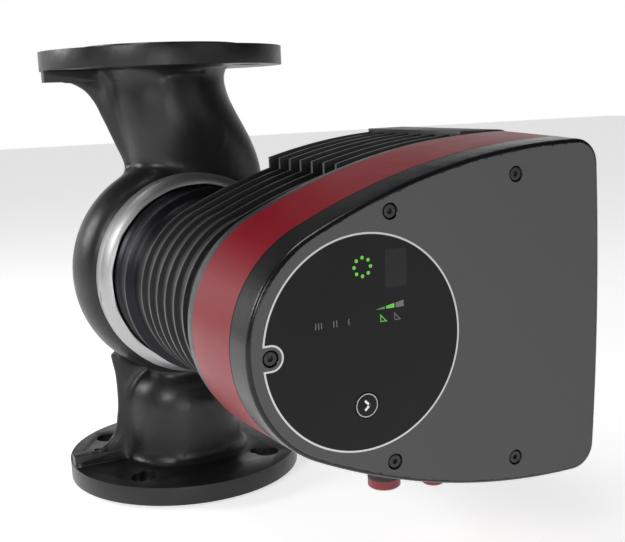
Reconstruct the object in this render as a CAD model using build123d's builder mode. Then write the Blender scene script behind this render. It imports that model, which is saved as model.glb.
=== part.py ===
"""In-line flanged circulator pump with a wet rotor and a control box, in millimetres.

The origin is the centre of the inlet flange's sealing face. +Z runs up the pipe to the
outlet, and the control panel faces -Y. "Depth" is the distance forward of the pipe axis,
towards -Y, and sketches across the motor have X to the right and their own Y upwards.
"""
from build123d import *
import os
from math import cos, radians, sin, sqrt

# ---- pipe connections -------------------------------------------------------------
port_to_port = 340.0
bore_radius = 32.5
port_straight = 22.0
flange_radius = 92.5
flange_rim = 14.0
raised_face_radius = 59.0
raised_face_height = 3.0
bolt_count = 4
large_bolt_pcd = 145.0
large_bolt_radius = 9.5
small_bolt_pcd = 130.0
small_bolt_radius = 6.5

# ---- cast housing -----------------------------------------------------------------
scroll_radius = 84.0
scroll_depth = 20.0
housing_back = 74.0
casting_wall = 9.0
lip_width = 4.5
seat_depth = 52.0
web_thickness = 8.0
bar_height = 8.5
bar_width = 10.0
bar_setback = 0.5

# ---- hydraulics -------------------------------------------------------------------
chamber_radius = 61.0
chamber_back = 6.0
impeller_radius = 55.0
impeller_width = 26.0
eye_radius = 24.0
eye_wall = 2.5
blade_count = 7
blade_thickness = 2.5
shroud_thickness = 2.5
shaft_radius = 7.0

# ---- fits -------------------------------------------------------------------------
running_gap = 0.3
bearing_gap = 0.04
seat_gap = 0.3

# ---- clamp ------------------------------------------------------------------------
clamp_wall = 3.0
clamp_lip = 4.0
clamp_screw_angle = -40.0
clamp_screw_radius = 3.0
seal_radius = 1.3

# ---- motor ------------------------------------------------------------------------
plate_thickness = 2.0
motor_lip_width = 5.5
drum_bore = 50.0
drum_wall = 6.0
shoulder_step = 8.0
bead_step = 3.0
neck_root_step = 10.0
lip_step = 5.0
bead_depth = 94.0
drum_end = 206.0
drum_end_wall = 6.0
can_radius = 32.0
can_wall = 0.6
can_end = 172.0
rotor_radius = 30.0
rotor_sleeve_wall = 0.8
rotor_start = 80.0
rotor_end = 166.0
stator_start = 84.0
stator_end = 162.0
slot_count = 12
bearing_radius = 14.0
bearing_length = 14.0

# ---- heat sink --------------------------------------------------------------------
fin_count = 7
first_fin = 115.0
fin_pitch = 16.6
fin_thickness = 2.6
fin_step_x = 36.0
fin_step = 7.0
block_left = 118.0
block_flat = 103.0
sleeve_wall = 3.0
base_start = 229.0

# ---- control box ------------------------------------------------------------------
nose_step = 11.0
nose_angle = 116.0
half_height = 99.0
side_reach = 156.5
side_bulge = 3.0
corner_radius = 15.0
band_start = 240.0
band_end = 290.0
front_depth = 312.0
band_grow = 3.0
cover_grow = 1.0
cover_round = 3.0
box_wall = 3.0
cover_face = 3.0
gasket_thickness = 1.0
screw_radius = 2.0
screw_head_radius = 3.5
screw_head_height = 4.0
screw_recess_radius = 4.6
screw_recess_depth = 4.5
boss_radius = 5.2
rib_thickness = 3.0
cover_screw_spots = [(16.8, 68.6), (16.8, -68.6), (98.0, 82.4), (98.0, -82.4), (-54.4, 0.0)]

# ---- display ----------------------------------------------------------------------
display_radius = 58.0
display_thickness = 2.0
trim_width = 1.1
trim_height = 0.3
tab_radius = 7.2
button_radius = 7.0
button_spot = (0.0, -33.7)
button_travel = 0.8
button_length = 9.0
button_proud = 0.3
board_thickness = 1.6

# ---- cable entries ----------------------------------------------------------------
entry_depth = 270.0
gland_x = 33.6
gland_radius = 9.8
plug_x = 68.0
plug_radius = 6.9
pad_drop = 6.4
pad_height = 11.0
gland_length = 9.7
plug_length = 6.9

# ---- worked-out places ------------------------------------------------------------
axis_height = port_to_port / 2
drum_radius = drum_bore + drum_wall
shoulder_radius = drum_radius + shoulder_step
bead_radius = shoulder_radius + bead_step
neck_root_radius = drum_radius + neck_root_step
lip_radius = neck_root_radius + lip_step
clamp_radius = lip_radius + clamp_lip
nose_radius = drum_radius + nose_step
seal_ring = lip_radius - 5.8
plate_depth = seat_depth + seat_gap
motor_face = plate_depth + plate_thickness
motor_lip_end = motor_face + motor_lip_width
motor_axis = Axis((0, 0, axis_height), (0, -1, 0))
display_back = front_depth - display_thickness
board_depth = base_start + 17.0


def station(depth):
    """Plane across the motor axis at one depth, with X right and Y up."""
    return Plane(origin=(0, -depth, axis_height), x_dir=(1, 0, 0), z_dir=(0, -1, 0))


def polar_point(radius, angle):
    """Point at a radius and an angle in degrees."""
    return (radius * cos(radians(angle)), radius * sin(radians(angle)))


def turned_outline(*points):
    """Face to turn about the motor axis, from (depth, radius) corners."""
    half_section = Plane(origin=(0, 0, axis_height), x_dir=(0, -1, 0), z_dir=(-1, 0, 0))
    with BuildSketch(half_section) as outline:
        with BuildLine():
            Polyline(*points, close=True)
        make_face()
    return outline.sketch


def tube_outline(start, end, inner, outer):
    """Rectangle to turn about the motor axis into a tube, or a disc when inner is 0."""
    return turned_outline((start, inner), (start, outer), (end, outer), (end, inner))


def oval(x, y, z, radius_x, radius_y):
    """Level oval section of a pipe neck."""
    with BuildSketch(Plane(origin=(x, y, z))) as section:
        Ellipse(radius_x, radius_y)
    return section.sketch


def box_outline(depth, grow=0.0):
    """Outline of the control box at one depth, let out by `grow` all round."""
    rise = radians(nose_angle - 90)
    corner = (side_reach + grow, half_height + grow)
    with BuildSketch(station(depth)) as outline:
        with BuildLine():
            nose = CenterArc((0, 0), nose_radius + grow, nose_angle, 2 * (180 - nose_angle))
            TangentArc(nose @ 0, corner, tangent=(cos(rise), sin(rise)))
            TangentArc(nose @ 1, (corner[0], -corner[1]), tangent=(cos(rise), -sin(rise)))
            side = (corner[0] + side_bulge, 0)
            ThreePointArc(corner, side, (corner[0], -corner[1]))
        make_face()
        fillet(outline.vertices().group_by(Axis.X)[-1], corner_radius + grow)
    return outline.sketch


def underside(x):
    """Distance from the motor axis down to the plain outline of the box at one x."""
    rise = radians(nose_angle - 90)
    start = polar_point(nose_radius, nose_angle)
    run = (side_reach - start[0], half_height - start[1])
    bend = (run[0] ** 2 + run[1] ** 2) / (2 * (run[0] * sin(rise) - run[1] * cos(rise)))
    centre = (start[0] + bend * sin(rise), start[1] - bend * cos(rise))
    return centre[1] + sqrt(bend ** 2 - (x - centre[0]) ** 2)


def spots(depth, places, radius):
    """Circles of one radius at (x, z) places across the motor axis."""
    with BuildSketch(station(depth)) as circles:
        with Locations(*places):
            Circle(radius)
    return circles.sketch


def block(depth, x, z, width, height):
    """Rectangle across the motor axis, centred at (x, z)."""
    with BuildSketch(station(depth)) as rectangle:
        with Locations((x, z)):
            Rectangle(width, height)
    return rectangle.sketch


def boss_ribs():
    """Ribs that run outwards from the cover screws, as rectangles across the band."""
    with BuildSketch(station(band_start)) as ribs:
        for x, z in cover_screw_spots[:-1]:
            with Locations((x, 1.5 * z)):
                Rectangle(rib_thickness, abs(z))
        with Locations((1.5 * cover_screw_spots[-1][0], 0)):
            Rectangle(-cover_screw_spots[-1][0], rib_thickness)
    return ribs.sketch


def entry_plane(x, height):
    """Level plane at one height, centred on a cable entry."""
    return Plane(origin=(x, -entry_depth, height))


def save(piece, name):
    """Label a finished piece and write it as its own file."""
    piece.part.label = name
    export_step(piece.part, f"parts/{name}.step")


def flange_outline(face_height, inward):
    """Half section of a pipe flange; inward is +1 when the pump lies above the face."""
    step = face_height + inward * raised_face_height
    inner = face_height + inward * (raised_face_height + flange_rim)
    flare = inner + inward * 9.0
    with BuildSketch(Plane.XZ) as outline:
        with BuildLine():
            Line((0, face_height), (raised_face_radius, face_height))
            Line((raised_face_radius, face_height), (raised_face_radius, step))
            Line((raised_face_radius, step), (flange_radius, step))
            Line((flange_radius, step), (flange_radius, inner))
            Line((flange_radius, inner), (54.0, inner))
            RadiusArc((54.0, inner), (45.0, flare), 9.0 * inward)
            Line((45.0, flare), (0, flare))
            Line((0, flare), (0, face_height))
        make_face()
    return outline.sketch


os.makedirs("parts", exist_ok=True)

# ==== pump housing =================================================================
inlet_inner = raised_face_height + flange_rim
outlet_inner = port_to_port - inlet_inner

with BuildPart() as pump_housing:
    # Flanges, with the flare of each neck.
    revolve(flange_outline(0, 1), axis=Axis.Z)
    revolve(flange_outline(port_to_port, -1), axis=Axis.Z)
    # A stiffening bar crosses the left half of each flange's inner face.
    for height in (inlet_inner, outlet_inner):
        with BuildSketch(Plane.XY.offset(height)) as bar:
            Circle(flange_radius - bar_setback)
            with Locations((-flange_radius / 2 - 15, 0)):
                Rectangle(flange_radius - 30, bar_width, mode=Mode.INTERSECT)
        extrude(amount=bar_height, both=True)
    # Scroll and suction dome, turned about the motor axis.
    with BuildSketch(Plane(origin=(0, 0, axis_height), x_dir=(0, -1, 0), z_dir=(-1, 0, 0))) as shell:
        with BuildLine():
            Line((-housing_back, 0), (-housing_back, 24))
            Spline((-housing_back, 24), (-54, 48), (-22, 70), (scroll_depth, scroll_radius),
                   (35, 79), (42, neck_root_radius + 3),
                   tangents=[(0, 1), (0, -1)])
            Line((42, neck_root_radius + 3), (42, neck_root_radius))
            Line((42, neck_root_radius), (seat_depth - lip_width, neck_root_radius))
            Line((seat_depth - lip_width, neck_root_radius), (seat_depth - lip_width, lip_radius - 2))
            Line((seat_depth - lip_width, lip_radius - 2), (seat_depth - lip_width + 2, lip_radius))
            Line((seat_depth - lip_width + 2, lip_radius), (seat_depth, lip_radius))
            Line((seat_depth, lip_radius), (seat_depth, 0))
            Line((seat_depth, 0), (-housing_back, 0))
        make_face()
    revolve(axis=motor_axis)

    # Inlet neck: a wide tube that closes as a dome under the scroll.
    with BuildSketch(Plane.XZ) as neck:
        with BuildLine():
            dome_start = axis_height - 112
            Line((0, inlet_inner), (46.5, inlet_inner))
            Line((46.5, inlet_inner), (45.5, dome_start))
            ThreePointArc((45.5, dome_start), (38, dome_start + 22), (20, dome_start + 33))
            Line((20, dome_start + 33), (0, dome_start + 33))
            Line((0, dome_start + 33), (0, inlet_inner))
        make_face()
    revolve(axis=Axis.Z)
    # The neck runs on, leaning back to the suction side of the impeller.
    loft([
        oval(0, 2, axis_height - 130, 39, 37),
        oval(0, 20, axis_height - 88, 43, 37),
        oval(0, 33, axis_height - 38, 42, 33),
    ])
    # Outlet neck: leans forward and to the right into the scroll.
    loft([
        oval(2, 0, outlet_inner - 2, 45.5, 45.4),
        oval(5, -5, axis_height + 125, 46, 43),
        oval(13, -11, axis_height + 102, 49, 36),
        oval(21, -13, axis_height + 76, 51, 28),
        oval(22, -16, axis_height + 40, 50, 24),
    ])
    # Stiffening webs on the left of both necks, each running into its flange's bar.
    with BuildSketch(Plane.XZ.offset(web_thickness / 2)) as webs:
        with BuildLine():
            top = outlet_inner - bar_height
            Line((0, outlet_inner), (-78, outlet_inner))
            Line((-78, outlet_inner), (-78, top))
            ThreePointArc((-78, top), (-62, top - 8), (-53, axis_height + 122))
            Line((-53, axis_height + 122), (-37, axis_height + 84))
            ThreePointArc((-37, axis_height + 84), (-35, axis_height + 76), (-37, axis_height + 66))
            Line((-37, axis_height + 66), (0, axis_height + 66))
            Line((0, axis_height + 66), (0, outlet_inner))
        make_face()
        with BuildLine():
            low = inlet_inner + bar_height
            Line((0, inlet_inner), (-78, inlet_inner))
            Line((-78, inlet_inner), (-78, low))
            ThreePointArc((-78, low), (-62, low + 9), (-56, axis_height - 118))
            ThreePointArc((-56, axis_height - 118), (-54.5, axis_height - 100), (-59, axis_height - 66))
            Line((-59, axis_height - 66), (0, axis_height - 66))
            Line((0, axis_height - 66), (0, inlet_inner))
        make_face()
    extrude(amount=-web_thickness)
    # Water spaces: impeller chamber, scroll channel, suction bend and discharge.
    revolve(tube_outline(chamber_back, seat_depth, 0, chamber_radius),
            axis=motor_axis, mode=Mode.SUBTRACT)
    revolve(turned_outline((10, 40), (10, 68), (14, 74), (28, 74), (34, 68), (34, 40)),
            axis=motor_axis, mode=Mode.SUBTRACT)
    revolve(tube_outline(-housing_back + casting_wall + 22, chamber_back, 0, 30),
            axis=motor_axis, mode=Mode.SUBTRACT)
    for face_height, inward in ((0, 1), (port_to_port, -1)):
        with BuildSketch(Plane.XY.offset(face_height)):
            Circle(bore_radius)
        extrude(amount=inward * port_straight, mode=Mode.SUBTRACT)
    loft([
        oval(0, 0, port_straight - 0.2, bore_radius - 0.1, bore_radius - 0.1),
        oval(0, 10, axis_height - 105, 33, 30),
        oval(0, 31, axis_height - 60, 34, 26),
        oval(0, 33, axis_height, 30, 24),
    ], mode=Mode.SUBTRACT)
    loft([
        oval(0, 0, port_to_port - port_straight + 0.2, bore_radius - 0.1, bore_radius - 0.1),
        oval(12, -12, axis_height + 100, 36, 26),
        oval(20, -22, axis_height + 62, 38, 13),
    ], mode=Mode.SUBTRACT)

    # Combination bolt holes in both flanges: two lobes on the two bolt circles.
    for height in (raised_face_height, outlet_inner):
        with BuildSketch(Plane.XY.offset(height)) as holes:
            with PolarLocations(large_bolt_pcd / 2, bolt_count, start_angle=45):
                Circle(large_bolt_radius)
            with PolarLocations(small_bolt_pcd / 2, bolt_count, start_angle=45):
                Circle(small_bolt_radius)
        extrude(amount=flange_rim, mode=Mode.SUBTRACT)
    # Groove for the housing seal.
    revolve(tube_outline(seat_depth - 2 * seal_radius, seat_depth, seal_ring - 1.8, seal_ring + 1.8),
            axis=motor_axis, mode=Mode.SUBTRACT)
save(pump_housing, "pump_housing")

# Ring that the impeller's eye runs in, pressed into the housing's dividing wall.
with BuildPart() as wear_ring:
    ring_bore = eye_radius + eye_wall + running_gap
    revolve(tube_outline(chamber_back - 5, chamber_back + 3, ring_bore, 30), axis=motor_axis)
save(wear_ring, "wear_ring")

with BuildPart() as housing_seal:
    with BuildSketch(Plane(origin=(0, 0, axis_height), x_dir=(0, -1, 0), z_dir=(-1, 0, 0))):
        with Locations((seat_depth - seal_radius, seal_ring)):
            Circle(seal_radius)
    revolve(axis=motor_axis)
save(housing_seal, "housing_seal")

# ==== clamp ========================================================================
clamp_start = seat_depth - lip_width - running_gap
clamp_end = motor_lip_end + running_gap
groove_radius = lip_radius + running_gap
clamp_inner = neck_root_radius + running_gap + 1.0
clamp_middle = (clamp_start + clamp_end) / 2
ear_reach = clamp_radius + 13.0

with BuildPart() as clamp_ring:
    revolve(turned_outline(
        (clamp_start - clamp_wall, clamp_inner),
        (clamp_start - clamp_wall, clamp_radius - 4),
        (clamp_start, clamp_radius),
        (clamp_end - 1.0, clamp_radius),
        (clamp_end + clamp_wall + 1.0, clamp_inner + 1.5),
        (clamp_end + clamp_wall + 1.0, clamp_inner),
        (clamp_end, clamp_inner),
        (clamp_end, groove_radius),
        (clamp_start, groove_radius),
        (clamp_start, clamp_inner)), axis=motor_axis)
    # The ring is split, with an ear on each side of the split for the screw.
    split_plane = Plane(origin=(0, -clamp_middle, axis_height), z_dir=(0, -1, 0),
                        x_dir=(cos(radians(clamp_screw_angle)), 0, sin(radians(clamp_screw_angle))))
    with BuildSketch(split_plane):
        for side in (1, -1):
            with Locations(((clamp_radius + ear_reach) / 2 - 1.5, side * 9.0)):
                Rectangle(ear_reach - clamp_radius + 3.0, 6.0)
    extrude(amount=6.5, both=True)
    with BuildSketch(split_plane):
        with Locations((clamp_radius, 0)):
            Rectangle(40, 12.0)
    extrude(amount=20, both=True, mode=Mode.SUBTRACT)
    screw_line = Axis(split_plane.from_local_coords((clamp_radius + 6.5, 0, 0)), split_plane.y_dir)
    with BuildSketch(Plane(origin=screw_line.position, z_dir=split_plane.y_dir)):
        Circle(clamp_screw_radius + running_gap)
    extrude(amount=20, both=True, mode=Mode.SUBTRACT)
    # Small sighting slot in the rim on the other side.
    with BuildSketch(station(clamp_middle)):
        with Locations((-clamp_radius, -9)):
            Rectangle(10, 7)
    extrude(amount=2.2, both=True, mode=Mode.SUBTRACT)
save(clamp_ring, "clamp_ring")

with BuildPart() as clamp_screw:
    screw_plane = Plane(origin=screw_line.position, z_dir=split_plane.y_dir)
    with BuildSketch(screw_plane.offset(-19)):
        Circle(clamp_screw_radius)
    extrude(amount=31)
    with BuildSketch(screw_plane.offset(12)):
        Circle(5.0)
    extrude(amount=6)
    with BuildSketch(screw_plane.offset(18)):
        RegularPolygon(2.9, 6)
    extrude(amount=-3, mode=Mode.SUBTRACT)
save(clamp_screw, "clamp_screw")

with BuildPart() as clamp_nut:
    with BuildSketch(screw_plane.offset(-12)):
        RegularPolygon(5.8, 6)
        Circle(clamp_screw_radius, mode=Mode.SUBTRACT)
    extrude(amount=-5)
save(clamp_nut, "clamp_nut")

sink_screw_spots = [polar_point(40, angle) for angle in (20, 160, 235, 305)]

# ==== motor ========================================================================
hub_radius = bearing_radius + 6.0
front_bearing_start = plate_depth + 4.0
front_bearing_end = front_bearing_start + bearing_length
plate_radius = lip_radius - 3.0
can_seat = motor_face + 5.5
can_outer = can_radius + can_wall

with BuildPart() as bearing_plate:
    revolve(turned_outline(
        (plate_depth, shaft_radius + 3), (plate_depth, plate_radius),
        (motor_face, plate_radius), (motor_face, can_radius - seal_radius),
        (can_seat, can_radius - seal_radius), (can_seat, can_radius - seal_radius - 2),
        (motor_face + 2, can_radius - seal_radius - 2), (motor_face + 2, hub_radius),
        (front_bearing_end, hub_radius), (front_bearing_end, bearing_radius),
        (front_bearing_start, bearing_radius), (front_bearing_start, shaft_radius + 3)),
        axis=motor_axis)
save(bearing_plate, "bearing_plate")

with BuildPart() as front_bearing:
    revolve(tube_outline(front_bearing_start, front_bearing_end,
                         shaft_radius + bearing_gap, bearing_radius), axis=motor_axis)
save(front_bearing, "front_bearing")

rear_bearing_start = can_end + 1.0
rear_bearing_end = rear_bearing_start + bearing_length
with BuildPart() as rotor_can:
    revolve(turned_outline(
        (motor_face, can_radius), (motor_face, can_outer + 4), (motor_face + 1, can_outer + 4),
        (motor_face + 1, can_outer), (can_end, can_outer), (can_end, bearing_radius + 1.0),
        (rear_bearing_end + 3, bearing_radius + 1.0), (rear_bearing_end + 3, 0),
        (rear_bearing_end + 2, 0), (rear_bearing_end + 2, bearing_radius),
        (can_end - 1, bearing_radius), (can_end - 1, can_radius)), axis=motor_axis)
save(rotor_can, "rotor_can")

with BuildPart() as rear_bearing:
    revolve(tube_outline(rear_bearing_start, rear_bearing_end,
                         shaft_radius + bearing_gap, bearing_radius), axis=motor_axis)
save(rear_bearing, "rear_bearing")

with BuildPart() as can_seal:
    with BuildSketch(Plane(origin=(0, 0, axis_height), x_dir=(0, -1, 0), z_dir=(-1, 0, 0))):
        with Locations((motor_face + 3.0, can_radius - seal_radius / 2)):
            Rectangle(seal_radius, seal_radius)
    revolve(axis=motor_axis)
save(can_seal, "can_seal")

with BuildPart() as stator_housing:
    revolve(turned_outline(
        (motor_face, drum_bore), (motor_face, lip_radius), (motor_lip_end - 2, lip_radius),
        (motor_lip_end, lip_radius - 2), (motor_lip_end, neck_root_radius),
        (clamp_end + clamp_wall + 2, neck_root_radius),
        (clamp_end + clamp_wall + 6, shoulder_radius),
        (bead_depth - 4, shoulder_radius), (bead_depth - 2, bead_radius),
        (bead_depth + 1, bead_radius), (bead_depth + 4, shoulder_radius - 2.5),
        (first_fin - 5, shoulder_radius - 4), (first_fin - 5, drum_radius),
        (drum_end, drum_radius), (drum_end, 0),
        (drum_end - drum_end_wall, 0), (drum_end - drum_end_wall, drum_bore)),
        axis=motor_axis)
    # Passage for the winding's connector through the drum's end wall.
    extrude(block(drum_end - drum_end_wall - 1, 0, 34, 20, 12), amount=drum_end_wall + 2,
            mode=Mode.SUBTRACT)
    extrude(spots(drum_end - 5, sink_screw_spots, screw_radius), amount=10, mode=Mode.SUBTRACT)
save(stator_housing, "stator_housing")

# Laminated core: a ring of iron with teeth that point at the can.
core_back = drum_bore - 7.0
core_bore = can_outer + running_gap
with BuildPart() as stator_core:
    with BuildSketch(station(stator_start)):
        Circle(drum_bore)
        Circle(core_back, mode=Mode.SUBTRACT)
        with PolarLocations((core_bore + core_back) / 2, slot_count):
            Rectangle(core_back - core_bore + 2, 8.0)
        Circle(core_bore, mode=Mode.SUBTRACT)
    extrude(amount=stator_end - stator_start)
save(stator_core, "stator_core")

# Copper coils: one wound round each tooth, standing proud of the core at both ends.
with BuildPart() as stator_windings:
    coil_inner = core_bore + 1.6
    with BuildSketch(station(stator_start - 8)):
        with PolarLocations((coil_inner + core_back) / 2, slot_count):
            Rectangle(core_back - coil_inner - 2.0, 14.0)
    extrude(amount=stator_end - stator_start + 16)
    with BuildSketch(station(stator_start - 0.1)):
        with PolarLocations((core_bore + core_back) / 2, slot_count):
            Rectangle(core_back - core_bore + 4, 8.2)
    extrude(amount=stator_end - stator_start + 0.2, mode=Mode.SUBTRACT)
save(stator_windings, "stator_windings")

# ==== rotor ========================================================================
impeller_back = chamber_back + 4.0
impeller_end = impeller_back + impeller_width
nut_start = impeller_back + 2.0

with BuildPart() as impeller:
    # Hub and back shroud on the motor side, front shroud and eye on the suction side.
    revolve(turned_outline(
        (nut_start + 8, shaft_radius), (nut_start + 8, 13), (impeller_end - shroud_thickness - 3, 15),
        (impeller_end - shroud_thickness, 26), (impeller_end - shroud_thickness, impeller_radius),
        (impeller_end, impeller_radius), (impeller_end, shaft_radius)), axis=motor_axis)
    revolve(turned_outline(
        (chamber_back - 4, eye_radius), (chamber_back - 4, eye_radius + eye_wall),
        (impeller_back, eye_radius + eye_wall), (impeller_back + 4, impeller_radius),
        (impeller_back + 4 + shroud_thickness, impeller_radius),
        (impeller_back + shroud_thickness, eye_radius)), axis=motor_axis)
    # Backward-curved blades between the shrouds.
    with BuildSketch(station(impeller_back + shroud_thickness)) as blades:
        with PolarLocations(0, blade_count):
            with BuildLine():
                inner = 20.0
                sweep_back = 55.0
                ThreePointArc(polar_point(inner, 0), polar_point(38, -22),
                              polar_point(impeller_radius - 0.5, -sweep_back))
                Line(polar_point(impeller_radius - 0.5, -sweep_back),
                     polar_point(impeller_radius - 0.5, 4 - sweep_back))
                ThreePointArc(polar_point(impeller_radius - 0.5, 4 - sweep_back),
                              polar_point(38, -17), polar_point(inner, 9))
                Line(polar_point(inner, 9), polar_point(inner, 0))
            make_face()
    extrude(amount=impeller_width - 2 * shroud_thickness + 0.5)
save(impeller, "impeller")

with BuildPart() as shaft:
    revolve(turned_outline(
        (nut_start - 4, 0), (nut_start - 4, shaft_radius - 1), (nut_start, shaft_radius - 1),
        (nut_start, shaft_radius), (rear_bearing_end - 1, shaft_radius),
        (rear_bearing_end, shaft_radius - 1), (rear_bearing_end, 0)), axis=motor_axis)
save(shaft, "shaft")

with BuildPart() as impeller_nut:
    with BuildSketch(station(nut_start)):
        RegularPolygon(11, 6)
        Circle(shaft_radius, mode=Mode.SUBTRACT)
    extrude(amount=8)
save(impeller_nut, "impeller_nut")

with BuildPart() as rotor_core:
    revolve(tube_outline(rotor_start, rotor_end, shaft_radius, 19), axis=motor_axis)
save(rotor_core, "rotor_core")

# Four arc magnets round the core.
with BuildPart() as rotor_magnets:
    with BuildSketch(station(rotor_start)):
        Circle(rotor_radius - rotor_sleeve_wall)
        Circle(19, mode=Mode.SUBTRACT)
        Rectangle(2 * rotor_radius, 3, mode=Mode.SUBTRACT)
        Rectangle(3, 2 * rotor_radius, mode=Mode.SUBTRACT)
    extrude(amount=rotor_end - rotor_start)
save(rotor_magnets, "rotor_magnets")

with BuildPart() as rotor_sleeve:
    revolve(turned_outline(
        (rotor_start - 1, shaft_radius), (rotor_start - 1, rotor_radius),
        (rotor_end + 1, rotor_radius), (rotor_end + 1, shaft_radius), (rotor_end, shaft_radius),
        (rotor_end, rotor_radius - rotor_sleeve_wall), (rotor_start, rotor_radius - rotor_sleeve_wall),
        (rotor_start, shaft_radius)), axis=motor_axis)
save(rotor_sleeve, "rotor_sleeve")

with BuildPart() as thrust_ring:
    ring_start = front_bearing_end + running_gap
    revolve(tube_outline(ring_start, rotor_start - 4, shaft_radius, bearing_radius - 1),
            axis=motor_axis)
save(thrust_ring, "thrust_ring")

with BuildPart() as thrust_carrier:
    revolve(tube_outline(rotor_start - 4, rotor_start - 1, shaft_radius, bearing_radius),
            axis=motor_axis)
save(thrust_carrier, "thrust_carrier")

# ==== heat sink ====================================================================
sink_grow = band_grow - 1.0
sleeve_start = first_fin - 3.0
sleeve_radius = drum_radius + sleeve_wall

with BuildPart() as heat_sink:
    extrude(spots(sleeve_start, [(0, 0)], sleeve_radius), amount=base_start - sleeve_start + 1)
    # Cooling fins: set in round the nose, full size to the right of the step.
    for number in range(fin_count):
        fin_depth = first_fin + number * fin_pitch
        extrude(box_outline(fin_depth, sink_grow - fin_step), amount=fin_thickness)
        right_half = block(fin_depth, fin_step_x + 100, 0, 200, 300)
        extrude(box_outline(fin_depth, sink_grow) & right_half, amount=fin_thickness)
    # Solid end block with a flat top and bottom, which the fins run into.
    with BuildSketch(station(first_fin - 2)) as end_block:
        with Locations((block_left + 22, 0)):
            Rectangle(44, 2 * block_flat)
        fillet(end_block.vertices().group_by(Axis.X)[-1], corner_radius)
    extrude(amount=base_start - first_fin + 3)
    # Base that carries the electronics.
    extrude(box_outline(base_start, sink_grow), amount=band_start - base_start)
    extrude(spots(sleeve_start, [(0, 0)], drum_radius), amount=drum_end - sleeve_start,
            mode=Mode.SUBTRACT)
    extrude(block(drum_end - 1, 0, 34, 22, 14), amount=band_start - drum_end + 2,
            mode=Mode.SUBTRACT)
    extrude(spots(drum_end, sink_screw_spots, screw_radius), amount=band_start - drum_end + 1,
            mode=Mode.SUBTRACT)
save(heat_sink, "heat_sink")

# Screws that hold the heat sink to the drum's end wall.
with BuildPart() as sink_screws:
    extrude(spots(drum_end - 5, sink_screw_spots, screw_radius), amount=band_start - drum_end + 5)
    extrude(spots(band_start, sink_screw_spots, screw_head_radius), amount=3)
save(sink_screws, "sink_screws")

# ==== control box ==================================================================
gland_seat = axis_height - underside(gland_x) - pad_drop
gland_tip = gland_seat - gland_length
plug_seat = axis_height - underside(plug_x) - pad_drop
plug_tip = plug_seat - plug_length
gland_floor = 2.5
thread_wall = 3.0

with BuildPart() as red_band:
    loft([box_outline(band_start, band_grow), box_outline(band_end, cover_grow)])
    loft([box_outline(band_start - 1, band_grow - box_wall),
          box_outline(band_end + 1, cover_grow - box_wall)], mode=Mode.SUBTRACT)
    # Screw bosses, each on a rib that joins it to the nearest wall.
    inside_wall = box_outline(band_start, cover_grow - 1)
    extrude(spots(band_start, cover_screw_spots, boss_radius) + (boss_ribs() & inside_wall),
            amount=band_end - band_start)
    extrude(spots(band_end - 22, cover_screw_spots, screw_radius), amount=22,
            mode=Mode.SUBTRACT)
    # Flat pads and holes for the two cable entries underneath.
    for x, radius, seat in ((gland_x, gland_radius, gland_seat), (plug_x, plug_radius, plug_seat)):
        with BuildSketch(entry_plane(x, seat)):
            Circle(radius + 2)
        extrude(amount=pad_height)
        with BuildSketch(entry_plane(x, seat)):
            Circle(radius - thread_wall)
        extrude(amount=2 * pad_height, both=True, mode=Mode.SUBTRACT)
save(red_band, "red_band")

with BuildPart() as cover_gasket:
    extrude(box_outline(band_end, cover_grow - 0.6), amount=gasket_thickness)
    extrude(box_outline(band_end, cover_grow - box_wall + 0.6), amount=gasket_thickness,
            mode=Mode.SUBTRACT)
save(cover_gasket, "cover_gasket")

cover_start = band_end + gasket_thickness
with BuildPart() as front_cover:
    loft([box_outline(cover_start, cover_grow), box_outline(front_depth, 0)])
    fillet(front_cover.faces().sort_by(Axis.Y)[0].edges(), cover_round)
    extrude(box_outline(cover_start, -box_wall), amount=front_depth - cover_start - cover_face,
            mode=Mode.SUBTRACT)
    extrude(spots(cover_start, cover_screw_spots, boss_radius),
            amount=front_depth - cover_start - 1)
    extrude(spots(cover_start, cover_screw_spots, screw_radius + 0.3),
            amount=front_depth - cover_start, mode=Mode.SUBTRACT)
    extrude(spots(front_depth, cover_screw_spots, screw_recess_radius),
            amount=-screw_recess_depth, mode=Mode.SUBTRACT)
    # Round seat for the display, with a rim under its edge and a window behind it.
    with BuildSketch(station(front_depth)) as seat:
        Circle(display_radius + trim_width)
        with Locations(cover_screw_spots[-1]):
            Circle(tab_radius - trim_width, mode=Mode.SUBTRACT)
        with Locations((cover_screw_spots[-1][0] - tab_radius, 0)):
            Rectangle(2 * tab_radius, 2 * (tab_radius - trim_width), mode=Mode.SUBTRACT)
    extrude(amount=-display_thickness, mode=Mode.SUBTRACT)
    with BuildSketch(station(front_depth)) as window:
        Circle(display_radius - 5)
        with Locations((cover_screw_spots[-1][0], 0)):
            Circle(tab_radius + 5, mode=Mode.SUBTRACT)
    extrude(amount=-cover_face - 2, mode=Mode.SUBTRACT)
save(front_cover, "front_cover")


def display_outline(depth, inset=0.0):
    """Display disc with the notch round its screw, drawn in by an inset."""
    screw = cover_screw_spots[-1]
    with BuildSketch(station(depth)) as outline:
        Circle(display_radius - inset)
        with Locations(screw):
            Circle(tab_radius + inset, mode=Mode.SUBTRACT)
        with Locations((screw[0] - tab_radius, 0)):
            Rectangle(2 * tab_radius, 2 * (tab_radius + inset), mode=Mode.SUBTRACT)
    return outline.sketch


with BuildPart() as display_panel:
    extrude(display_outline(display_back), amount=display_thickness)
    extrude(spots(display_back, [button_spot], button_radius + running_gap),
            amount=display_thickness, mode=Mode.SUBTRACT)
save(display_panel, "display_panel")

with BuildPart() as display_trim:
    extrude(display_outline(display_back, -trim_width + 0.05), amount=display_thickness + 0.1)
    extrude(display_outline(display_back), amount=display_thickness + 0.1, mode=Mode.SUBTRACT)
save(display_trim, "display_trim")

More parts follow.
